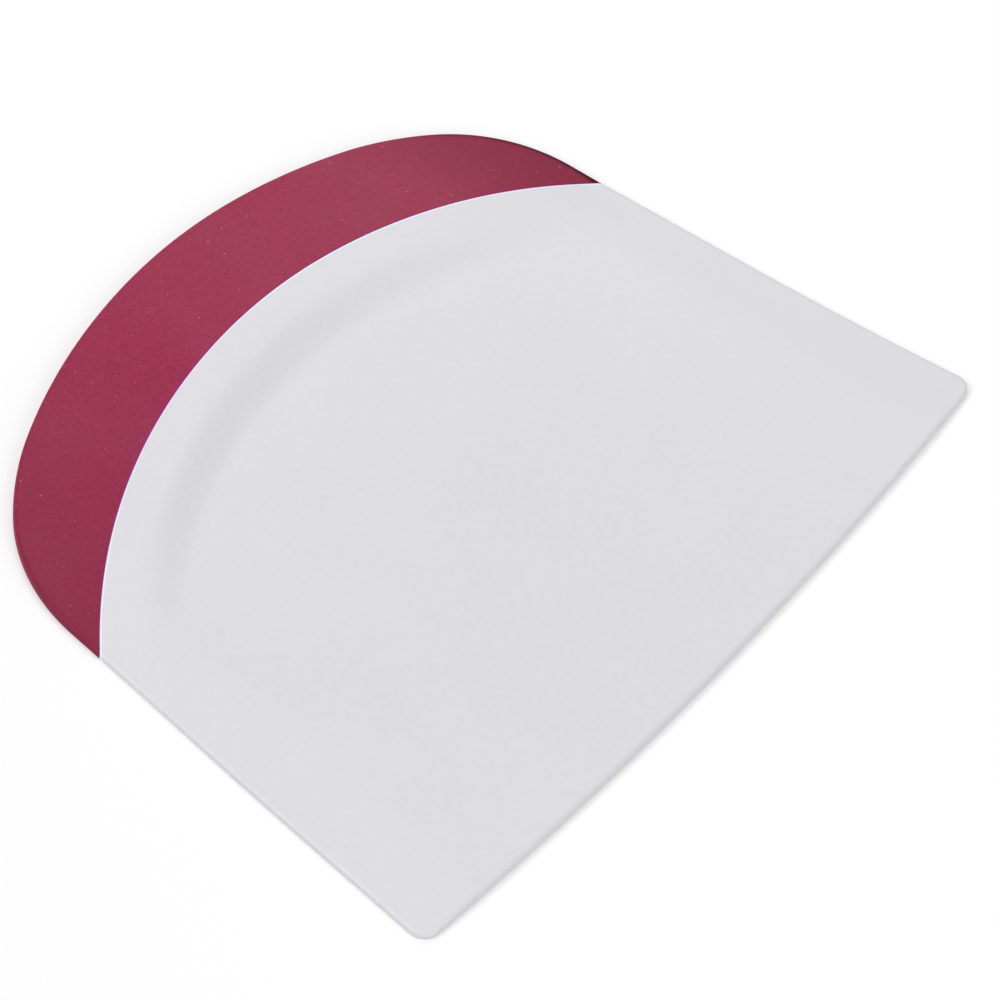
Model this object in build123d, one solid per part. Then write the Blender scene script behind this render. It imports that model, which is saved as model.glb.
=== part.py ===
from build123d import *
import math
import os

# Bowl scraper: a stiff D-shaped plate with a soft lip moulded along its curved edge.
# It lies flat. X runs along the straight edge, Y from that edge to the curved one, and Z up.
# While it is modelled, Y starts at the line through the two corners. The finished pieces are
# moved so that the origin is on the underside, in the middle of the outline's box.

# Outline of the whole scraper, seen from above, in millimetres and degrees
blade_width = 150.0          # between the two corners, before they are rounded
blade_depth = 113.5          # from the line through the corners to the top of the curved edge
edge_bow = 3.0               # the straight edge bulges this far past the line through its corners
side_taper = 6.7             # each side leans in by this angle
curve_radius = 104.0         # of the curved edge
blend_radius = 55.0          # between the curved edge and a shoulder
blend_turn = 17.0            # the blend turns through this angle
shoulder_radius = 32.0       # between the blend and a side
corner_radius = 3.0          # at the ends of the straight edge

# Seam between the plate and the lip, an arc about a point on the middle line
seam_radius = 102.0
lip_width = 19.0             # from the seam to the curved edge, on the middle line

# Thickness
blade_thickness = 1.8        # of the plate between its two side strips
side_thickness = 1.2         # of the plate at its sides
strip_width = 12.0           # over which the plate thins toward a side
ridge_height = 3.3           # of the rim at the seam, on the middle line, above the underside
lip_edge_thickness = 1.3     # of the lip at its outer edge, on the middle line
edge_round_share = 0.6       # rounding of the upper outer edges, as a share of side_thickness
underside_round_share = 0.15  # rounding of the lower outer edges, as a share of side_thickness

# Raised rim beside the seam
rim_width = 5.0              # from the seam to where the rim starts to fall
ramp_width = 8.5             # over which it falls to the plate
ramp_blend = 25.0            # radius at the ramp's crest and at its foot

# Anchor flange of the plate, inside the lip
flange_reach = 7.0           # past the seam
flange_thickness = 0.8
flange_floor = 0.6           # height of the flange above the underside
flange_end_gap = 16.0        # along the seam, from its end to the flange's
flange_root = 2.0            # inside the plate

# Windows through the flange, which the lip's keys fill
window_count = 11
window_diameter = 3.6
window_end_gap = 5.5         # along the seam, from the flange's end to the last window's middle

# Cutting tools reach this far past what they cut
overrun = 2.0

# Places that follow from the sizes above
edge_round = side_thickness * edge_round_share
underside_round = side_thickness * underside_round_share
half_width = blade_width / 2
taper = math.radians(side_taper)
corner = Vector(half_width, 0, 0)
along_side = Vector(-math.sin(taper), math.cos(taper), 0)
inward = Vector(-math.cos(taper), -math.sin(taper), 0)
curve_centre = Vector(0, blade_depth - curve_radius, 0)
seam_centre = Vector(0, blade_depth - lip_width - seam_radius, 0)


def arc_crossing(inset, centre, radius):
    """Where an arc crosses the line that runs inside a side, this far from it."""
    start = corner + inward * inset
    reach = (centre - start).dot(along_side)
    offset_squared = (centre - start).length ** 2 - reach**2
    return start + along_side * (reach + math.sqrt(radius**2 - offset_squared))


def turn_about_seam(point):
    """The angle of a point about the seam's centre, from the middle line, in radians."""
    return math.atan2(point.X, point.Y - seam_centre.Y)


# The flange ends short of the seam, and its row of windows short of the flange
seam_turn = turn_about_seam(arc_crossing(0, seam_centre, seam_radius))
flange_turn = seam_turn - flange_end_gap / seam_radius
window_turn = flange_turn - window_end_gap / seam_radius

# The rim's top is a barrel along Y, highest on the middle line.
# At the seam it comes down to the plate just before it meets a side strip.
rim_half_span = arc_crossing(strip_width, seam_centre, seam_radius).X - edge_round
rim_rise = ridge_height - blade_thickness
barrel_radius = (rim_half_span**2 + rim_rise**2) / (2 * rim_rise)


def mirrored(point):
    """The point on the other side of the middle line."""
    return Vector(-point.X, point.Y, 0)


def outline_face():
    """The whole scraper seen from above."""
    # The blend touches the curved edge and the shoulder, and the shoulder touches the side.
    # The three centres are the corners of a triangle whose angles follow from the blend's turn.
    curve_to_blend = curve_radius - blend_radius
    blend_to_shoulder = blend_radius - shoulder_radius
    along_blend = curve_to_blend + blend_to_shoulder * math.cos(math.radians(blend_turn))
    across_blend = blend_to_shoulder * math.sin(math.radians(blend_turn))
    curve_to_shoulder = math.hypot(along_blend, across_blend)
    lean = math.degrees(math.atan2(across_blend, along_blend))

    shoulder_centre = arc_crossing(shoulder_radius, curve_centre, curve_to_shoulder)
    curve_end_way = (shoulder_centre - curve_centre).normalized().rotate(Axis.Z, lean)
    blend_centre = curve_centre + curve_end_way * curve_to_blend
    blend_end_way = (shoulder_centre - blend_centre).normalized()

    side_end = shoulder_centre - inward * shoulder_radius
    shoulder_middle = shoulder_centre + (blend_end_way - inward).normalized() * shoulder_radius
    blend_end = shoulder_centre + blend_end_way * shoulder_radius
    blend_middle = blend_centre + (blend_end_way + curve_end_way).normalized() * blend_radius
    curve_end = curve_centre + curve_end_way * curve_radius

    with BuildSketch() as sketch:
        with BuildLine():
            ThreePointArc(mirrored(corner), Vector(0, -edge_bow, 0), corner)
            Line(corner, side_end)
            ThreePointArc(side_end, shoulder_middle, blend_end)
            ThreePointArc(blend_end, blend_middle, curve_end)
            ThreePointArc(curve_end, Vector(0, blade_depth, 0), mirrored(curve_end))
            ThreePointArc(mirrored(curve_end), mirrored(blend_middle), mirrored(blend_end))
            ThreePointArc(mirrored(blend_end), mirrored(shoulder_middle), mirrored(side_end))
            Line(mirrored(side_end), mirrored(corner))
        make_face()
        corners = sketch.vertices().filter_by(lambda vertex: vertex.Y < corner_radius)
        fillet(corners, radius=corner_radius)
    return sketch.sketch


def seam_disc(radius, bottom, top):
    """A disc about the seam's centre, between two heights."""
    disc = Cylinder(radius, top - bottom, align=(Align.CENTER, Align.CENTER, Align.MIN))
    return Pos(0, seam_centre.Y, bottom) * disc


def radial_plane(angle):
    """An upright plane through the seam's centre, with its X pointing outward."""
    outward = (math.sin(angle), math.cos(angle), 0)
    across = (math.cos(angle), -math.sin(angle), 0)
    return Plane(origin=seam_centre, x_dir=outward, z_dir=across)


def strip_top(inset):
    """Height of a side strip over the underside, this far inside the side."""
    slope = (blade_thickness - side_thickness) / strip_width
    return side_thickness + slope * inset


def seam_top(angle):
    """Height of the plate's upper face at the seam, at this angle from the middle line."""
    x = seam_radius * math.sin(abs(angle))
    if x < rim_half_span:
        return ridge_height - barrel_radius + math.sqrt(barrel_radius**2 - x**2)
    y = seam_centre.Y + seam_radius * math.cos(angle)
    inset = (Vector(x, y, 0) - corner).dot(inward)
    return min(strip_top(inset), blade_thickness)


def above_strip():
    """What is cut away above the side strip on the right."""
    low = strip_top(-overrun)
    section = Polyline(
        (strip_width, blade_thickness),
        (-overrun, low),
        (-overrun, blade_thickness + overrun),
        close=True,
    )
    start = Plane(origin=corner - along_side * overrun, x_dir=inward, z_dir=along_side)
    return extrude(start * make_face(section), amount=blade_depth + 2 * overrun)


def under_lip_slope():
    """The space under the lip's top, which slopes from the plate at the seam to the outer edge."""
    inner = seam_radius - overrun
    outer = seam_radius + lip_width + overrun
    last_turn = turn_about_seam(arc_crossing(-overrun, seam_centre, inner))
    stations = 13
    sections = []
    for index in range(stations):
        angle = last_turn * (2 * index / (stations - 1) - 1)
        top = seam_top(angle)
        fall = (top - lip_edge_thickness) / lip_width
        section = Polyline(
            (inner, -overrun),
            (outer, -overrun),
            (outer, top - fall * (outer - seam_radius)),
            (inner, top + fall * overrun),
            close=True,
        )
        sections.append(radial_plane(angle) * make_face(section))
    return loft(sections)


def ramp_cutter(foot_radius):
    """What is cut away inside the rim: a cone that opens upward from the ramp's foot."""
    height = rim_rise + overrun
    mouth_radius = foot_radius + ramp_width * height / rim_rise
    cone = Cone(foot_radius, mouth_radius, height, align=(Align.CENTER, Align.CENTER, Align.MIN))
    cone = fillet(cone.edges().sort_by(Axis.Z)[0], ramp_blend)
    return Pos(0, seam_centre.Y, blade_thickness) * cone


def raised_rim():
    """The rim beside the seam, from inside the plate to the barrel."""
    foot_radius = seam_radius - rim_width - ramp_width
    ramp_angle = math.atan2(rim_rise, ramp_width)
    blend_reach = ramp_blend * math.tan(ramp_angle / 2)
    root = blade_thickness / 2
    ring = seam_disc(seam_radius, root, ridge_height + overrun)
    ring = ring - ramp_cutter(foot_radius) - seam_disc(foot_radius - blend_reach, root, blade_thickness)

    barrel = Cylinder(barrel_radius, 2 * blade_width, rotation=(90, 0, 0))
    barrel = Pos(0, 0, ridge_height - barrel_radius) * barrel
    upper_half = Box(
        2 * rim_half_span,
        blade_depth,
        2 * ridge_height,
        align=(Align.CENTER, Align.MIN, Align.CENTER),
    )
    rim = ring & barrel & upper_half

    # The crest is the curve between the barrel and the ramp
    crest = rim.edges().group_by(Axis.Z)[-1].sort_by(Axis.Y)[0]
    return fillet(crest, ramp_blend)


def flange_outline():
    """The flange seen from above, from inside the plate to its outer edge."""
    inner = seam_radius - flange_root
    outer = seam_radius + flange_reach
    spread = 2 * math.degrees(flange_turn)
    start = 90 - spread / 2
    with BuildSketch() as sketch:
        with BuildLine():
            inner_arc = CenterArc(seam_centre, inner, start, spread)
            outer_arc = CenterArc(seam_centre, outer, start, spread)
            Line(inner_arc @ 0, outer_arc @ 0)
            Line(inner_arc @ 1, outer_arc @ 1)
        make_face()
    return sketch.sketch


def anchor_flange():
    """The flange that holds the lip, with its row of windows."""
    flange = Pos(0, 0, flange_floor) * extrude(flange_outline(), amount=flange_thickness)
    row_radius = seam_radius + flange_reach / 2
    for index in range(window_count):
        angle = window_turn * (2 * index / (window_count - 1) - 1)
        place = Pos(row_radius * math.sin(angle), seam_centre.Y + row_radius * math.cos(angle), 0)
        flange -= place * Cylinder(window_diameter / 2, 2 * ridge_height)
    return flange


def outline_edges(piece, outline):
    """The piece's edges that follow the outline, upper ones first, without the upright ones."""
    border = outline.wire()
    tolerance = underside_round / 10
    upper = ShapeList()
    lower = ShapeList()
    for edge in piece.edges():
        middle = edge @ 0.5
        step = (edge @ 1) - (edge @ 0)
        on_border = border.distance_to(Vertex(middle.X, middle.Y, 0)) < tolerance
        if on_border and math.hypot(step.X, step.Y) > tolerance:
            group = upper if middle.Z > underside_round else lower
            group.append(edge)
    return upper, lower


def rounded(piece, outline):
    """The piece with its outer edges rounded."""
    piece = fillet(outline_edges(piece, outline)[0], edge_round)
    return fillet(outline_edges(piece, outline)[1], underside_round)


def blade_body(outline):
    """The stiff plate with its side strips, its raised rim and its anchor flange."""
    plate = extrude(outline, amount=blade_thickness)
    plate = plate - above_strip() - mirror(above_strip(), about=Plane.YZ)
    plate = rounded(plate, outline) & seam_disc(seam_radius, 0, blade_thickness)
    return plate + raised_rim() + anchor_flange()


def soft_lip(outline):
    """The soft crescent outside the seam, moulded around the flange."""
    block = extrude(outline, amount=ridge_height + overrun) & under_lip_slope()
    lip = rounded(block, outline) - seam_disc(seam_radius, 0, ridge_height + overrun)
    return lip - anchor_flange()


outline = outline_face()
nodes = {
    "blade_body": blade_body(outline),
    "soft_lip": soft_lip(outline),
}

os.makedirs("parts", exist_ok=True)
to_origin = Pos(0, (edge_bow - blade_depth) / 2, 0)
for name, piece in nodes.items():
    export_step(to_origin * piece, f"parts/{name}.step")
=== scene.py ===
import math

import bpy
import numpy as np
from mathutils import Matrix, Vector


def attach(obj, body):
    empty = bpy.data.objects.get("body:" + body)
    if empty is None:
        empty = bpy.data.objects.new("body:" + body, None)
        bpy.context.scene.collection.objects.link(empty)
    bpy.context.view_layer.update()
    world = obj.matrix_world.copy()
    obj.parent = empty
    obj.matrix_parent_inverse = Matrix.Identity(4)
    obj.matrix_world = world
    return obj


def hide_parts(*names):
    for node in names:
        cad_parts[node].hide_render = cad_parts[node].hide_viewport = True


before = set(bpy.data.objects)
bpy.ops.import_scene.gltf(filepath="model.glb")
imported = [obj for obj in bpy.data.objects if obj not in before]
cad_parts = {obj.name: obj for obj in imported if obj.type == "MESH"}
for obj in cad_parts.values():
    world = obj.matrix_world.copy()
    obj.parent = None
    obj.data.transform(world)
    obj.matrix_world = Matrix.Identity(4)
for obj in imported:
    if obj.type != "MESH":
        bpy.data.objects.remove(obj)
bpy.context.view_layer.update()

# The object's sizes are in millimetres until a mesh or a node is made. As in the CAD source, Y
# starts at the line through the two corners while a shape is worked out, and is moved to the
# frame's origin last.
MM = 0.001
HALF_WIDTH = 75.0
DEPTH = 113.5
EDGE_BOW = 3.0
TAPER = math.radians(6.7)
CURVE_RADIUS = 104.0
BLEND_RADIUS = 55.0
BLEND_TURN = math.radians(17.0)
SHOULDER_RADIUS = 32.0
CORNER_RADIUS = 3.0
SEAM_RADIUS = 102.0
LIP_WIDTH = 19.0
PLATE_THICKNESS = 1.8
SIDE_THICKNESS = 1.2
STRIP_WIDTH = 12.0
RIDGE_HEIGHT = 3.3
LIP_EDGE_THICKNESS = 1.3
EDGE_ROUND = 0.72
UNDERSIDE_ROUND = 0.18

# The ramp from the rim down to a shallow gutter, measured inward from the seam. Beyond the
# gutter the plate rises again to its gentle crown.
RAMP_START = 4.5
RAMP_END = 14.3
GUTTER_DEPTH = 0.6
GUTTER_HALF_SPAN = 58.0
GUTTER_SPAN_POWER = 4
GUTTER_START = 12.5
GUTTER_FADE = 20.0
CROWN_HEIGHT = 0.15
CROWN_MIDDLE = 45.0
CROWN_HALF_WIDTH = 64.0
CROWN_HALF_DEPTH = 52.0

# The rim's top falls from the middle line to the sides, gently at first and faster at its ends
RIM_GENTLE_FALL = 1.2
RIM_END_FALL = 1.1
RIM_GENTLE_POWER = 2
RIM_END_POWER = 6

# The moulding's slight bends: the right side flares at its corner and is a little hollow, the
# left side bulges, and the left half of the curve is drawn in
SIDE_FLARE = 0.88
SIDE_FLARE_REACH = 13.0
SIDE_HOLLOW = 0.29
SIDE_BULGE = 0.25
SIDE_BEND_REACH = 20.0
CURVE_DRAW = 0.33
CURVE_DRAW_MIDDLE = -25.0
CURVE_DRAW_HALF_WIDTH = 45.0
CURVE_DRAW_REACH = 60.0

# Softness of the blends between the faces, as heights
CREASE_BLEND = 0.06
RIM_BLEND = 0.15

# The fine groove where the two materials meet
GROOVE_DEPTH = 0.05
GROOVE_WIDTH = 0.16

# Points that agree to this many decimals are one point
MERGE_DECIMALS = 4

# Distances from the seam of the mesh rows next to it
SEAM_ROWS = np.array([0, 0.03, 0.06, 0.1, 0.16, 0.24, 0.4, 0.7, 1.2])

# Counts of mesh divisions
EDGE_STEPS = 110
FILLET_STEPS = 5
SIDE_STEPS = 92
LIP_COLUMNS = 260
LIP_ROWS = 26
STRAIGHT_POINTS = 200
BLEND_STEPS = 200
ROUND_EDGE_STEPS = 400
ROUND_STEPS = 7
WALL_STEPS = 3
UNDERSIDE_STEPS = 3

# The plate's colours. It is painted a touch paler toward its margins as painted light, and palest
# in a thin cool line along the seam as a painted highlight. A cloud and a fine mottle shift it
# slightly. Each noise here and below is its scale, its detail and, where it isn't the usual one,
# its roughness.
PLATE_DEEP = (0.712, 0.704, 0.742)
PLATE_PALE = (0.742, 0.734, 0.773)
PLATE_SEAM_HIGHLIGHT = (0.8, 0.88, 0.99)
PLATE_DUST = (0.45, 0.44, 0.46)
SEAM_HIGHLIGHT_WIDTH = 0.34
LIT_MARGIN_MIDDLE = (-12.0, 34.0)
LIT_MARGIN_START = 15.0
LIT_MARGIN_END = 85.0
LIT_MARGIN_STRENGTH = 0.95
PLATE_CLOUD_NOISE = (18, 2)
PLATE_CLOUD = 0.25
PLATE_MOTTLE_NOISE = (900, 4, 0.65)
PLATE_MOTTLE = 0.38

# The lip's colours, clouded from one to the other. Its ends are darker with painted shade, and a
# thin line along the seam is tinged. A faint painted sheen lies on the middle of its right half.
LIP_DEEP = (0.292, 0.0112, 0.0573)
LIP_PALE = (0.307, 0.0128, 0.0613)
LIP_PAINTED_SHEEN = (0.308, 0.032, 0.073)
LIP_GRAIN_PALE = (0.44, 0.028, 0.1)
LIP_GRAIN_DEEP = (0.17, 0.003, 0.028)
LIP_END_SHADE = (0.197, 0.0085, 0.036)
LIP_EDGE_SHADE = (0.035, 0.0015, 0.003)
LIP_SEAM = (0.35, 0.004, 0.17)
LIP_DUST = (0.62, 0.33, 0.42)
LIP_CLOUD_NOISE = (40, 3)
SEAM_TINGE_WIDTH = 0.13
SHEEN_MIDDLE = (40.0, 97.0)
SHEEN_START = 12.0
SHEEN_END = 55.0

# Each grain of the lip: its noise, and how far it goes toward the pale and the deep colour
LIP_GRAINS = [((3200, 2, 0.7), 0.5, 0.25), ((1300, 2, 0.7), 0.25, 0.1)]

# Each end of the lip: its side, where its painted shade starts, how dark it gets, and how strong
# the painted shade on its thin outer edge is
LIP_SHADED_ENDS = [(-1, 12.0, 0.55, 0.1), (1, 40.0, 0.9, 0.9)]
LIP_END_SHADE_REACH = 69.0
EDGE_SHADE_WIDTH = 1.25
EDGE_SHADE_START = 50.0
EDGE_SHADE_END = 66.0

# Each kind of dust: its cells per metre, its largest radius, the share of the cells that hold a
# speck, and how strong the specks are
PLATE_DUSTS = [(110, 0.16, 0.12, 0.3)]
LIP_DUSTS = [(220, 0.17, 0.32, 0.35), (480, 0.1, 0.22, 0.3)]

# Gloss and relief. Smudges take the roughness from one value to the other. Each relief is its
# noise and its height.
PLATE_SMUDGE_NOISE = (45, 3)
PLATE_ROUGHNESS = (0.42, 0.5)
PLATE_RELIEF = [((30, 1), 0.06), ((2600, 3), 0.004)]
LIP_SMUDGE_NOISE = (60, 3)
LIP_ROUGHNESS = (0.46, 0.56)
LIP_SPECULAR = 0.2
LIP_RELIEF = [((55, 1), 0.04), ((3200, 3), 0.008)]

# Most of a noise lies in this span, and most of a fine grain in the narrower one
NOISE_SPAN = (0.3, 0.7)
GRAIN_SPAN = (0.35, 0.65)

# The studio, in metres and watts. The floor that is seen has its own grey and a white glow
# added to it, and turns to plain white far from the object. The floor that throws light on the
# object has another grey. Each softbox is its name, heading, elevation, distance, size and
# power.
FLOOR_HALF_SIZE = 6.0
FLOOR_WHITE_START = 0.2
FLOOR_WHITE_END = 0.7
FLOOR_BOUNCE = 0.8
FLOOR_SHOWN = 0.75
FLOOR_LIFT = 0.3
BACKDROP_SHOWN = 1.0
WORLD_LIGHT = 0.271
SOFTBOXES = [
    ("key_left", 155, 40, 3.0, 1.5, 46.0),
    ("fill_front", 267, 25, 0.8, 0.5, 2.4),
    ("fill_back", 45, 50, 0.8, 0.5, 2.0),
]

# The camera at the photograph's place. Its sensor and lens are in millimetres, the rest in
# metres.
CAMERA_SENSOR = 36.0
CAMERA_LENS = 252.0
CAMERA_PLACE = (-0.636464, -0.307896, 0.858901)
CAMERA_RIGHT = (0.588074, -0.791832, 0.164835)
CAMERA_BACK = (-0.575133, -0.266104, 0.773570)
CAMERA_NEAR = 0.05
CAMERA_FAR = 50.0

CORNER = np.array([HALF_WIDTH, 0.0])
ALONG_SIDE = np.array([-math.sin(TAPER), math.cos(TAPER)])
INWARD = np.array([-math.cos(TAPER), -math.sin(TAPER)])
SEAM_CENTRE = np.array([0.0, DEPTH - LIP_WIDTH - SEAM_RADIUS])
CURVE_CENTRE = np.array([0.0, DEPTH - CURVE_RADIUS])
BOW_RADIUS = (HALF_WIDTH**2 + EDGE_BOW**2) / (2 * EDGE_BOW)
BOW_CENTRE = np.array([0.0, BOW_RADIUS - EDGE_BOW])
ORIGIN_SHIFT = (EDGE_BOW - DEPTH) / 2


def side_crossing(inset, centre, radius, upper=True):
    """Where a circle crosses the line that runs inside the right side, this far from it."""
    start = CORNER + INWARD * inset
    reach = (centre - start) @ ALONG_SIDE
    half_chord = math.sqrt(radius**2 - ((centre - start) @ (centre - start)) + reach**2)
    return start + ALONG_SIDE * (reach + (half_chord if upper else -half_chord))


FILLET_CENTRE = side_crossing(CORNER_RADIUS, BOW_CENTRE, BOW_RADIUS - CORNER_RADIUS, upper=False)

# The blend touches the curved edge and the shoulder, and the shoulder touches the side
ALONG_BLEND = CURVE_RADIUS - BLEND_RADIUS + (BLEND_RADIUS - SHOULDER_RADIUS) * math.cos(BLEND_TURN)
ACROSS_BLEND = (BLEND_RADIUS - SHOULDER_RADIUS) * math.sin(BLEND_TURN)
SHOULDER_CENTRE = side_crossing(
    SHOULDER_RADIUS, CURVE_CENTRE, math.hypot(ALONG_BLEND, ACROSS_BLEND)
)
CURVE_END_ANGLE = math.atan2(*(SHOULDER_CENTRE - CURVE_CENTRE)[::-1])
CURVE_END_ANGLE += math.atan2(ACROSS_BLEND, ALONG_BLEND)
CURVE_END_WAY = np.array([math.cos(CURVE_END_ANGLE), math.sin(CURVE_END_ANGLE)])
BLEND_CENTRE = CURVE_CENTRE + CURVE_END_WAY * (CURVE_RADIUS - BLEND_RADIUS)

RIM_HALF_SPAN, SIDE_HEIGHT = side_crossing(0, SEAM_CENTRE, SEAM_RADIUS)


def smooth_min(a, b, blend):
    """The lower of two heights, with their crossing rounded."""
    return (a + b - np.sqrt((a - b) ** 2 + blend**2)) / 2


def smooth_max(a, b, blend):
    """The higher of two heights, with their crossing rounded."""
    return (a + b + np.sqrt((a - b) ** 2 + blend**2)) / 2


def smooth_step(value):
    """From 0 to 1, level at both ends, with no jump in its curvature."""
    t = np.clip(value, 0, 1)
    return t**3 * (t * (6 * t - 15) + 10)


def side_inset(points):
    """How far inside the nearer side each point is."""
    folded = np.stack([np.abs(points[..., 0]), points[..., 1]], axis=-1)
    return (folded - CORNER) @ INWARD


def strip_height(points):
    """The plate without its rim: level between the side strips, and thinner toward the sides."""
    slope = (PLATE_THICKNESS - SIDE_THICKNESS) / STRIP_WIDTH
    strip = SIDE_THICKNESS + slope * side_inset(points)
    return smooth_min(strip, PLATE_THICKNESS, CREASE_BLEND)


def rim_height(x):
    """The rim's top, highest on the middle line."""
    share = np.abs(x / RIM_HALF_SPAN)
    gentle = RIM_GENTLE_FALL * share**RIM_GENTLE_POWER
    return RIDGE_HEIGHT - gentle - RIM_END_FALL * share**RIM_END_POWER


def crown_rise(points):
    """How far the plate's gentle crown stands over the level."""
    across = 1 - (points[..., 0] / CROWN_HALF_WIDTH) ** 2
    along = 1 - ((points[..., 1] - CROWN_MIDDLE) / CROWN_HALF_DEPTH) ** 2
    return CROWN_HEIGHT * np.maximum(across, 0) * np.maximum(along, 0)


def gutter_drop(points, inside):
    """How far the gutter at the ramp's foot lies under the crown."""
    fade = np.exp(-np.maximum(inside - GUTTER_START, 0) / GUTTER_FADE)
    span = np.maximum(1 - np.abs(points[..., 0] / GUTTER_HALF_SPAN) ** GUTTER_SPAN_POWER, 0)
    return GUTTER_DEPTH * fade * span


def groove_drop(distance):
    """How far the surface falls, this far from the seam."""
    t = np.clip(1 - distance / GROOVE_WIDTH, 0, 1)
    return GROOVE_DEPTH * (1 - np.sqrt(1 - t**2))


def plate_height(points):
    """The plate's upper face."""
    radius = np.hypot(points[..., 0], points[..., 1] - SEAM_CENTRE[1])
    inside = SEAM_RADIUS - radius
    base = strip_height(points) + crown_rise(points)
    rise = smooth_max(rim_height(points[..., 0]) - base, 0, RIM_BLEND)
    share = 1 - smooth_step((inside - RAMP_START) / (RAMP_END - RAMP_START))
    return base + rise * share - gutter_drop(points, inside) * (1 - share) - groove_drop(inside)


def seam_height(angle):
    """The upper face at the seam, before the groove."""
    x = SEAM_RADIUS * np.sin(angle)
    y = SEAM_CENTRE[1] + SEAM_RADIUS * np.cos(angle)
    points = np.stack([x, y], axis=-1)
    base = strip_height(points) + crown_rise(points)
    return base + smooth_max(rim_height(x) - base, 0, RIM_BLEND)


def lip_height(points):
    """The lip's upper face, sloping from the seam to the outer edge."""
    angle = np.arctan2(points[..., 0], points[..., 1] - SEAM_CENTRE[1])
    radius = np.hypot(points[..., 0], points[..., 1] - SEAM_CENTRE[1])
    outside = radius - SEAM_RADIUS
    top = seam_height(angle)
    return top - (top - LIP_EDGE_THICKNESS) * outside / LIP_WIDTH - groove_drop(outside)


def underside_height(points):
    """The lower face: flat, with the same fine groove at the seam."""
    radius = np.hypot(points[..., 0], points[..., 1] - SEAM_CENTRE[1])
    return groove_drop(np.abs(radius - SEAM_RADIUS))


def arc(centre, radius, start, end, steps):
    """Points on an arc between the directions of two vectors from its centre."""
    first = math.atan2(start[1], start[0])
    last = math.atan2(end[1], end[0])
    turn = (last - first + math.pi) % (2 * math.pi) - math.pi
    angles = first + turn * np.linspace(0, 1, steps + 1)
    return centre + radius * np.stack([np.cos(angles), np.sin(angles)], axis=-1)


def toward_seam(steps, length):
    """Places along a line that ends at the seam, closer together near it."""
    far = np.linspace(SEAM_ROWS[-1], length, steps + 1)[1:]
    return (length - np.concatenate([SEAM_ROWS, far]))[::-1] / length


def mirrored(points):
    """The same line on the other side of the middle, in the opposite order."""
    return (points * np.array([-1, 1]))[::-1]


def plate_edges(inset):
    """The plate's outline, this far inside: its straight edge and its right side."""
    foot = FILLET_CENTRE - BOW_CENTRE
    middle = (foot / np.linalg.norm(foot) - INWARD) / 2
    fillet_radius = CORNER_RADIUS - inset
    bow = arc(BOW_CENTRE, BOW_RADIUS - inset, np.array([0.0, -1.0]), foot, EDGE_STEPS)
    lower = arc(FILLET_CENTRE, fillet_radius, foot, middle, FILLET_STEPS)
    upper = arc(FILLET_CENTRE, fillet_radius, middle, -INWARD, FILLET_STEPS)
    end = side_crossing(inset, SEAM_CENTRE, SEAM_RADIUS)
    shares = toward_seam(SIDE_STEPS, np.linalg.norm(end - upper[-1]))[:, None]
    side = upper[-1] * (1 - shares) + end * shares
    half_edge = np.concatenate([bow, lower[1:]])
    edge = np.concatenate([mirrored(half_edge)[:-1], half_edge])
    return edge, np.concatenate([upper, side[1:]])


def lip_edge(inset):
    """The lip's outline, this far inside, from the left end of the seam to the right."""
    start = side_crossing(inset, SEAM_CENTRE, SEAM_RADIUS)
    shoulder_start = SHOULDER_CENTRE - INWARD * (SHOULDER_RADIUS - inset)
    blend_end_way = SHOULDER_CENTRE - BLEND_CENTRE
    top_way = np.array([0.0, 1.0])
    shares = np.linspace(0, 1, STRAIGHT_POINTS)[:, None]
    side = start * (1 - shares) + shoulder_start * shares
    shoulder = arc(
        SHOULDER_CENTRE, SHOULDER_RADIUS - inset, -INWARD, blend_end_way, ROUND_EDGE_STEPS
    )
    blend = arc(BLEND_CENTRE, BLEND_RADIUS - inset, blend_end_way, CURVE_END_WAY, BLEND_STEPS)
    curve = arc(CURVE_CENTRE, CURVE_RADIUS - inset, CURVE_END_WAY, top_way, ROUND_EDGE_STEPS)
    half = np.concatenate([side, shoulder[1:], blend[1:], curve[1:]])
    return np.concatenate([half, mirrored(half)[1:]])[::-1]


def lengths(points):
    """The share of a line's length at each of its points."""
    steps = np.linalg.norm(np.diff(points, axis=0), axis=1)
    total = np.concatenate([[0], np.cumsum(steps)])
    return total / total[-1]


def along(points, shares):
    """Points at these shares of a line's length."""
    place = lengths(points)
    return np.stack([np.interp(shares, place, points[:, axis]) for axis in (0, 1)], axis=-1)


def seam_arc(inset, shares):
    """The seam from left to right, ending this far inside the two sides."""
    end = side_crossing(inset, SEAM_CENTRE, SEAM_RADIUS)
    turn = math.atan2(end[0], end[1] - SEAM_CENTRE[1])
    angles = turn * (2 * shares - 1)
    return SEAM_CENTRE + SEAM_RADIUS * np.stack([np.sin(angles), np.cos(angles)], axis=-1)


def patch(bottom, top, left, right):
    """A grid of points that fills four edges."""
    u = lengths(bottom)[None, :, None]
    v = lengths(left)[:, None, None]
    across = left[:, None] * (1 - u) + right[:, None] * u
    up = bottom[None] * (1 - v) + top[None] * v
    low = bottom[0] * (1 - u) + bottom[-1] * u
    high = top[0] * (1 - u) + top[-1] * u
    return across + up - (low * (1 - v) + high * v)


def edge_profile():
    """The rounded outer edge from top to bottom: how far inside, and what share of the height
    above the lower rounding, with the two roundings as their own parts."""
    rows = []
    for angle in np.linspace(0, math.pi / 2, ROUND_STEPS + 1):
        rows.append(("upper", EDGE_ROUND * (1 - math.sin(angle)), math.cos(angle)))
    for share in np.linspace(0, 1, WALL_STEPS + 1)[1:-1]:
        rows.append(("wall", 0.0, 1 - share))
    for angle in np.linspace(0, math.pi / 2, UNDERSIDE_STEPS + 1):
        rows.append(("lower", UNDERSIDE_ROUND * (1 - math.cos(angle)), 1 - math.sin(angle)))
    return rows


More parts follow.
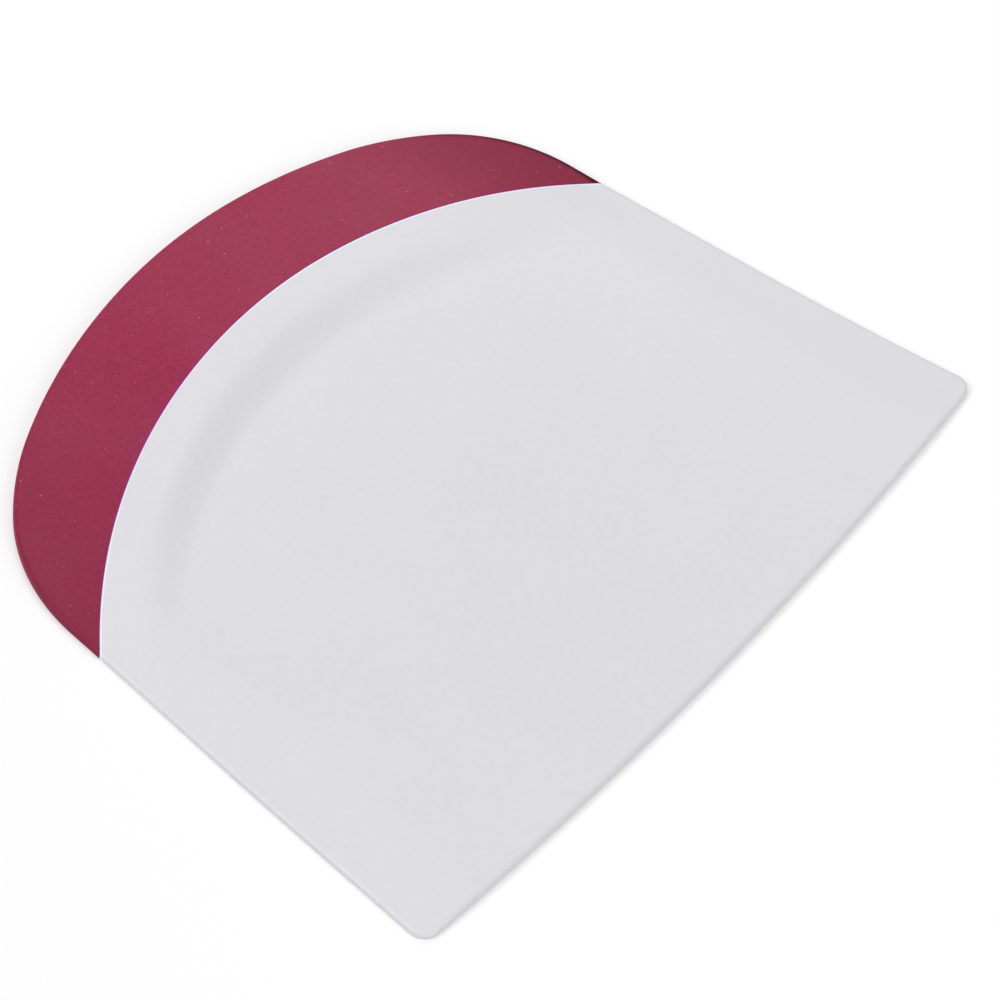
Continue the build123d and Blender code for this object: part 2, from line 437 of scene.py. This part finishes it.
def profile_height(part, share, top):
    """The height of a profile row where the upper face has this height."""
    if part == "upper":
        return top - EDGE_ROUND * (1 - share)
    if part == "wall":
        return UNDERSIDE_ROUND + (top - EDGE_ROUND - UNDERSIDE_ROUND) * share
    return np.full_like(top, UNDERSIDE_ROUND * share)


def grid_faces(rows, columns, first, flip):
    """Quads of a grid whose points are numbered row by row."""
    index = first + np.arange(rows * columns).reshape(rows, columns)
    quads = [index[:-1, :-1], index[:-1, 1:], index[1:, 1:], index[1:, :-1]]
    if flip:
        quads = quads[::-1]
    return np.stack(quads, axis=-1).reshape(-1, 4)


def side_bend(points):
    """How far the moulding's slight bends move each point sideways."""
    hill = np.sin(math.pi * np.clip(points[:, 1] / SIDE_HEIGHT, 0, 1)) ** 2
    flare = SIDE_FLARE * np.exp(-points[:, 1] / SIDE_FLARE_REACH)
    near_right = np.exp((points[:, 0] - HALF_WIDTH) / SIDE_BEND_REACH)
    near_left = np.exp((-points[:, 0] - HALF_WIDTH) / SIDE_BEND_REACH)
    return near_right * (flare - SIDE_HOLLOW * hill) - near_left * SIDE_BULGE * hill


def curve_bend(points):
    """How far the moulding's slight bends move each point toward the curved edge."""
    place = np.clip((points[:, 0] - CURVE_DRAW_MIDDLE) / CURVE_DRAW_HALF_WIDTH, -1, 1)
    near_curve = np.exp((points[:, 1] - DEPTH) / CURVE_DRAW_REACH)
    return -CURVE_DRAW * near_curve * np.cos(math.pi / 2 * place) ** 2


def make_piece(name, grids):
    """One closed mesh from grids that share their edges. A grid is its points and whether its
    faces are flipped."""
    points = []
    faces = []
    count = 0
    for grid, flip in grids:
        rows, columns = grid.shape[:2]
        points.append(grid.reshape(-1, 3))
        faces.append(grid_faces(rows, columns, count, flip))
        count += rows * columns
    points = np.concatenate(points)
    faces = np.concatenate(faces)
    _, first, merged = np.unique(
        np.round(points, MERGE_DECIMALS), axis=0, return_index=True, return_inverse=True
    )
    points = points[first]
    moves = np.stack([side_bend(points), curve_bend(points) + ORIGIN_SHIFT], axis=-1)
    points[:, :2] += moves
    polygons = []
    for face in merged.reshape(-1)[faces]:
        corners = [int(c) for i, c in enumerate(face) if c != face[i - 1]]
        if len(set(corners)) > 2:
            polygons.append(corners)
    mesh = bpy.data.meshes.new(name)
    mesh.from_pydata((points * MM).tolist(), [], polygons)
    mesh.validate()
    mesh.shade_smooth()
    piece = bpy.data.objects.new(name, mesh)
    bpy.context.scene.collection.objects.link(piece)
    return piece


def raised(points, height):
    """Plan points with their heights."""
    return np.concatenate([points, height[..., None]], axis=-1)


def edge_grid(line_at, height):
    """The rounded outer edge along an outline. line_at gives the outline this far inside."""
    top = height(line_at(EDGE_ROUND))
    rows = []
    for part, inset, share in edge_profile():
        rows.append(raised(line_at(inset), profile_height(part, share, top)))
    return np.stack(rows)


def seam_wall(shares, height):
    """The upright face at the seam. Its ends follow the rounded outer edge."""
    rows = []
    end_top = height(seam_arc(EDGE_ROUND, np.array([1.0])))[0]
    last_row = len(edge_profile()) - 1
    for index, (part, inset, share) in enumerate(edge_profile()):
        line = seam_arc(inset, shares)
        end = profile_height(part, share, end_top) / end_top
        upper = height(line)
        lower = underside_height(line)
        depth_share = index / last_row
        rows.append(raised(line, upper * end + lower * (1 - end) * depth_share))
    return np.stack(rows)


def make_plate():
    """The stiff plate."""
    edge_shares = lengths(plate_edges(EDGE_ROUND)[0])

    def face(inset, height):
        edge, side = plate_edges(inset)
        grid = patch(edge, seam_arc(inset, edge_shares), mirrored(side)[::-1], side)
        return raised(grid, height(grid))

    def right_side(inset):
        return plate_edges(inset)[1]

    def left_side(inset):
        return mirrored(plate_edges(inset)[1])

    def straight_edge(inset):
        return plate_edges(inset)[0]

    return make_piece("plate", [
        (face(EDGE_ROUND, plate_height), False),
        (face(UNDERSIDE_ROUND, underside_height), True),
        (edge_grid(straight_edge, plate_height), True),
        (edge_grid(right_side, plate_height), True),
        (edge_grid(left_side, plate_height), True),
        (seam_wall(edge_shares, plate_height), False),
    ])


def make_lip():
    """The soft lip."""
    # The columns lie closer together near the lip's two ends
    half = np.linspace(0, 1, LIP_COLUMNS // 2 + 1)
    half = (half + half**2) / 2
    shares = np.concatenate([half / 2, (1 - half / 2)[::-1][1:]])
    across = np.concatenate([
        SEAM_ROWS / LIP_WIDTH,
        np.linspace(SEAM_ROWS[-1] / LIP_WIDTH, 1, LIP_ROWS)[1:],
    ])[:, None, None]

    def outer_line(inset):
        return along(lip_edge(inset), shares)

    def face(inset, height):
        grid = seam_arc(inset, shares)[None] * (1 - across) + outer_line(inset)[None] * across
        return raised(grid, height(grid))

    return make_piece("lip", [
        (face(EDGE_ROUND, lip_height), False),
        (face(UNDERSIDE_ROUND, underside_height), True),
        (edge_grid(outer_line, lip_height), False),
        (seam_wall(shares, lip_height), True),
    ])


def new_material(name):
    """A node material, with its node tree, its main shader and the object coordinates."""
    material = bpy.data.materials.new(name)
    material.use_nodes = True
    tree = material.node_tree
    shader = tree.nodes["Principled BSDF"]
    coordinates = tree.nodes.new("ShaderNodeTexCoord").outputs["Object"]
    return material, tree, shader, coordinates


def noise(tree, coordinates, scale, detail, roughness=0.5):
    """Noise with about this many waves per metre."""
    node = tree.nodes.new("ShaderNodeTexNoise")
    node.inputs["Scale"].default_value = scale
    node.inputs["Detail"].default_value = detail
    node.inputs["Roughness"].default_value = roughness
    tree.links.new(coordinates, node.inputs["Vector"])
    return node.outputs["Fac"]


def remapped(tree, value, low, high, to_low, to_high):
    """A value mapped from one range to another, and held at its ends."""
    node = tree.nodes.new("ShaderNodeMapRange")
    tree.links.new(value, node.inputs["Value"])
    numbers = {"From Min": low, "From Max": high, "To Min": to_low, "To Max": to_high}
    for socket, number in numbers.items():
        node.inputs[socket].default_value = number
    return node.outputs["Result"]


def math_node(tree, operation, first, second):
    """Two values or numbers combined."""
    node = tree.nodes.new("ShaderNodeMath")
    node.operation = operation
    for socket, value in zip(node.inputs, (first, second)):
        if isinstance(value, (int, float)):
            socket.default_value = value
        else:
            tree.links.new(value, socket)
    return node.outputs["Value"]


def mixed_colour(tree, share, first, second):
    """The first colour at a share of 0, the second at 1."""
    node = tree.nodes.new("ShaderNodeMix")
    node.data_type = "RGBA"
    tree.links.new(share, node.inputs["Factor"])
    for socket, value in ((node.inputs[6], first), (node.inputs[7], second)):
        if isinstance(value, tuple):
            socket.default_value = (*value, 1)
        else:
            tree.links.new(value, socket)
    return node.outputs[2]


def bumped(tree, coordinates, shader, relief):
    """Layers of relief laid over each other."""
    normal = None
    for settings, height in relief:
        node = tree.nodes.new("ShaderNodeBump")
        node.inputs["Distance"].default_value = height * MM
        tree.links.new(noise(tree, coordinates, *settings), node.inputs["Height"])
        if normal is not None:
            tree.links.new(normal, node.inputs["Normal"])
        normal = node.outputs["Normal"]
    tree.links.new(normal, shader.inputs["Normal"])


def distance_from(tree, coordinates, x, y):
    """The level distance from a point of the plan, in metres. The point is in millimetres."""
    offset = tree.nodes.new("ShaderNodeVectorMath")
    offset.operation = "SUBTRACT"
    tree.links.new(coordinates, offset.inputs[0])
    offset.inputs[1].default_value = (x * MM, (y + ORIGIN_SHIFT) * MM, 0)
    level = tree.nodes.new("ShaderNodeVectorMath")
    level.operation = "MULTIPLY"
    tree.links.new(offset.outputs["Vector"], level.inputs[0])
    level.inputs[1].default_value = (1, 1, 0)
    length = tree.nodes.new("ShaderNodeVectorMath")
    length.operation = "LENGTH"
    tree.links.new(level.outputs["Vector"], length.inputs[0])
    return length.outputs["Value"]


def sideways(tree, coordinates, side):
    """How far to this side of the middle line, in metres."""
    split = tree.nodes.new("ShaderNodeSeparateXYZ")
    tree.links.new(coordinates, split.inputs["Vector"])
    return math_node(tree, "MULTIPLY", split.outputs["X"], side)


def end_edge_shade(tree, coordinates, side, strength):
    """The painted shade on the outer edge's last millimetre, around this side's shoulder."""
    reach = distance_from(tree, coordinates, side * SHOULDER_CENTRE[0], SHOULDER_CENTRE[1])
    inner = (SHOULDER_RADIUS - EDGE_SHADE_WIDTH) * MM
    outer = (SHOULDER_RADIUS - EDGE_ROUND / 2) * MM
    edge = remapped(tree, reach, inner, outer, 0, strength)
    out = sideways(tree, coordinates, side)
    end = remapped(tree, out, EDGE_SHADE_START * MM, EDGE_SHADE_END * MM, 0, 1)
    return math_node(tree, "MULTIPLY", edge, end)


def specks(tree, coordinates, scale, radius, kept):
    """1 in small round specks, one in some of the cells of this scale, and 0 elsewhere."""
    largest = radius * MM * scale
    cells = tree.nodes.new("ShaderNodeTexVoronoi")
    cells.voronoi_dimensions = "2D"
    cells.inputs["Scale"].default_value = scale
    tree.links.new(coordinates, cells.inputs["Vector"])
    split = tree.nodes.new("ShaderNodeSeparateColor")
    tree.links.new(cells.outputs["Color"], split.inputs["Color"])
    chosen = math_node(tree, "LESS_THAN", split.outputs["Red"], kept)
    size = remapped(tree, split.outputs["Green"], 0, 1, largest / 2, largest)
    inside = math_node(tree, "LESS_THAN", cells.outputs["Distance"], size)
    return math_node(tree, "MULTIPLY", chosen, inside)


def dusted(tree, coordinates, base, dusts, colour):
    """A colour with specks of dust on it."""
    for scale, radius, kept, strength in dusts:
        dust = specks(tree, coordinates, scale, radius, kept)
        base = mixed_colour(tree, math_node(tree, "MULTIPLY", dust, strength), base, colour)
    return base


def plate_material():
    """Satin moulded plastic, white with a faint lilac cast."""
    material, tree, shader, coordinates = new_material("white_plastic")
    # Painted light: the plate is paler the farther it lies from a point near its middle
    inward = distance_from(tree, coordinates, *LIT_MARGIN_MIDDLE)
    painted_margin_light = remapped(tree, inward, LIT_MARGIN_START * MM, LIT_MARGIN_END * MM, 0, LIT_MARGIN_STRENGTH)
    cloud = noise(tree, coordinates, *PLATE_CLOUD_NOISE)
    cloud = remapped(tree, cloud, *NOISE_SPAN, 0, PLATE_CLOUD)
    mottle = noise(tree, coordinates, *PLATE_MOTTLE_NOISE)
    mottle = remapped(tree, mottle, *NOISE_SPAN, -PLATE_MOTTLE, PLATE_MOTTLE)
    share = math_node(tree, "ADD", math_node(tree, "ADD", painted_margin_light, cloud), mottle)
    base = mixed_colour(tree, share, PLATE_DEEP, PLATE_PALE)
    # Painted highlight: a thin pale cool line along the seam
    from_centre = distance_from(tree, coordinates, *SEAM_CENTRE)
    highlight_start = (SEAM_RADIUS - SEAM_HIGHLIGHT_WIDTH) * MM
    line = math_node(tree, "GREATER_THAN", from_centre, highlight_start)
    base = mixed_colour(tree, line, base, PLATE_SEAM_HIGHLIGHT)
    base = dusted(tree, coordinates, base, PLATE_DUSTS, PLATE_DUST)
    tree.links.new(base, shader.inputs["Base Color"])
    smudge = noise(tree, coordinates, *PLATE_SMUDGE_NOISE)
    roughness = remapped(tree, smudge, *NOISE_SPAN, *PLATE_ROUGHNESS)
    tree.links.new(roughness, shader.inputs["Roughness"])
    bumped(tree, coordinates, shader, PLATE_RELIEF)
    return material


def lip_material():
    """Satin burgundy elastomer with a few specks of dust."""
    material, tree, shader, coordinates = new_material("burgundy_rubber")
    cloud = noise(tree, coordinates, *LIP_CLOUD_NOISE)
    base = mixed_colour(tree, remapped(tree, cloud, *NOISE_SPAN, 0, 1), LIP_DEEP, LIP_PALE)
    # Painted sheen: a faint greyish haze on the middle of the lip's right half
    outward = distance_from(tree, coordinates, *SHEEN_MIDDLE)
    painted_sheen = remapped(tree, outward, SHEEN_START * MM, SHEEN_END * MM, 1, 0)
    base = mixed_colour(tree, painted_sheen, base, LIP_PAINTED_SHEEN)
    for settings, pale, deep in LIP_GRAINS:
        grain = noise(tree, coordinates, *settings)
        share = remapped(tree, grain, *GRAIN_SPAN, -pale / 2, pale)
        base = mixed_colour(tree, share, base, LIP_GRAIN_PALE)
        share = remapped(tree, grain, *GRAIN_SPAN, deep, -deep)
        base = mixed_colour(tree, share, base, LIP_GRAIN_DEEP)
    # Painted shade: the lip darkens toward both ends, most toward the right end
    for side, start, darkest, strength in LIP_SHADED_ENDS:
        out = sideways(tree, coordinates, side)
        far = remapped(tree, out, start * MM, LIP_END_SHADE_REACH * MM, 0, darkest)
        base = mixed_colour(tree, far, base, LIP_END_SHADE)
        # Painted shade: the thin outer edge near this end is darker still
        edge_shade = end_edge_shade(tree, coordinates, side, strength)
        base = mixed_colour(tree, edge_shade, base, LIP_EDGE_SHADE)
    # The strong painted shade on the edge, which is the last, is dull
    specular = remapped(tree, edge_shade, 0, 1, LIP_SPECULAR, 0)
    tree.links.new(specular, shader.inputs["Specular IOR Level"])
    from_centre = distance_from(tree, coordinates, *SEAM_CENTRE)
    tinge_end = (SEAM_RADIUS + SEAM_TINGE_WIDTH) * MM
    line = math_node(tree, "LESS_THAN", from_centre, tinge_end)
    base = mixed_colour(tree, line, base, LIP_SEAM)
    base = dusted(tree, coordinates, base, LIP_DUSTS, LIP_DUST)
    tree.links.new(base, shader.inputs["Base Color"])
    smudge = noise(tree, coordinates, *LIP_SMUDGE_NOISE)
    roughness = remapped(tree, smudge, *NOISE_SPAN, *LIP_ROUGHNESS)
    tree.links.new(roughness, shader.inputs["Roughness"])
    bumped(tree, coordinates, shader, LIP_RELIEF)
    return material


def light_path_mix(tree, shown, other):
    """One shader for what the camera and reflections see, another for the rest."""
    path = tree.nodes.new("ShaderNodeLightPath")
    seen = math_node(tree, "MAXIMUM", path.outputs["Is Camera Ray"], path.outputs["Is Glossy Ray"])
    seen = math_node(tree, "MAXIMUM", seen, path.outputs["Is Transmission Ray"])
    mix = tree.nodes.new("ShaderNodeMixShader")
    tree.links.new(seen, mix.inputs["Fac"])
    tree.links.new(other, mix.inputs[1])
    tree.links.new(shown, mix.inputs[2])
    return mix.outputs["Shader"]


def grey(level):
    """A grey as a colour socket takes it."""
    return (level, level, level, 1)


def diffuse(tree, level):
    """A dull grey surface."""
    node = tree.nodes.new("ShaderNodeBsdfDiffuse")
    node.inputs["Color"].default_value = grey(level)
    return node.outputs["BSDF"]


def glow(tree, strength):
    """A plain white glow."""
    node = tree.nodes.new("ShaderNodeEmission")
    node.inputs["Strength"].default_value = strength
    return node.outputs["Emission"]


def floor_material():
    """White around the object, with its shadow, and plain white far from it."""
    material = bpy.data.materials.new("floor_white")
    material.use_nodes = True
    tree = material.node_tree
    tree.nodes.remove(tree.nodes["Principled BSDF"])
    near = tree.nodes.new("ShaderNodeAddShader")
    tree.links.new(diffuse(tree, FLOOR_SHOWN), near.inputs[0])
    tree.links.new(glow(tree, FLOOR_LIFT), near.inputs[1])
    coordinates = tree.nodes.new("ShaderNodeTexCoord").outputs["Object"]
    outward = distance_from(tree, coordinates, 0, DEPTH / 2)
    far = remapped(tree, outward, FLOOR_WHITE_START, FLOOR_WHITE_END, 0, 1)
    shown = tree.nodes.new("ShaderNodeMixShader")
    tree.links.new(far, shown.inputs["Fac"])
    tree.links.new(near.outputs["Shader"], shown.inputs[1])
    tree.links.new(glow(tree, BACKDROP_SHOWN), shown.inputs[2])
    mix = light_path_mix(tree, shown.outputs["Shader"], diffuse(tree, FLOOR_BOUNCE))
    tree.links.new(mix, tree.nodes["Material Output"].inputs["Surface"])
    return material


def make_floor():
    """A plain pale floor under the object."""
    size = FLOOR_HALF_SIZE
    corners = [(-size, -size, 0), (size, -size, 0), (size, size, 0), (-size, size, 0)]
    mesh = bpy.data.meshes.new("floor")
    mesh.from_pydata(corners, [], [(0, 1, 2, 3)])
    mesh.materials.append(floor_material())
    floor = bpy.data.objects.new("floor", mesh)
    bpy.context.scene.collection.objects.link(floor)


def make_world():
    """A white backdrop that gives a soft, plain light."""
    world = bpy.data.worlds.new("studio")
    bpy.context.scene.world = world
    world.use_nodes = True
    tree = world.node_tree
    shown = tree.nodes["Background"]
    other = tree.nodes.new("ShaderNodeBackground")
    for background, strength in ((shown, BACKDROP_SHOWN), (other, WORLD_LIGHT)):
        background.inputs["Color"].default_value = grey(1)
        background.inputs["Strength"].default_value = strength
    mix = light_path_mix(tree, shown.outputs["Background"], other.outputs["Background"])
    tree.links.new(mix, tree.nodes["World Output"].inputs["Surface"])


def make_softbox(name, heading, elevation, distance, size, watts):
    """A square soft light that faces the object. Its heading, from +X toward +Y, and its
    elevation are in degrees."""
    data = bpy.data.lights.new(name, "AREA")
    data.shape = "SQUARE"
    data.size = size
    data.energy = watts
    lamp = bpy.data.objects.new(name, data)
    bpy.context.scene.collection.objects.link(lamp)
    turn = math.radians(heading)
    rise = math.radians(elevation)
    level = math.cos(rise)
    toward = Vector((math.cos(turn) * level, math.sin(turn) * level, math.sin(rise)))
    lamp.location = toward * distance
    lamp.rotation_mode = "QUATERNION"
    lamp.rotation_quaternion = toward.to_track_quat("Z", "Y")


def make_camera():
    """The camera at the photograph's place."""
    data = bpy.data.cameras.new("camera")
    data.sensor_width = CAMERA_SENSOR
    data.lens = CAMERA_LENS
    data.clip_start = CAMERA_NEAR
    data.clip_end = CAMERA_FAR
    camera = bpy.data.objects.new("camera", data)
    bpy.context.scene.collection.objects.link(camera)
    right = Vector(CAMERA_RIGHT).normalized()
    back = Vector(CAMERA_BACK).normalized()
    up = back.cross(right).normalized()
    right = up.cross(back)
    turn = Matrix((right, up, back)).transposed()
    camera.matrix_world = Matrix.Translation(Vector(CAMERA_PLACE)) @ turn.to_4x4()
    bpy.context.scene.camera = camera


for make, cad_node, slot, material in (
    (make_plate, "blade_body", "body_plastic", plate_material()),
    (make_lip, "soft_lip", "lip_rubber", lip_material()),
):
    piece = make()
    piece.data.materials.append(material)
    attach(piece, "root")
    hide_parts(cad_node)

make_floor()
make_world()
for softbox in SOFTBOXES:
    make_softbox(*softbox)
make_camera()

bpy.context.scene.view_settings.view_transform = "Standard"
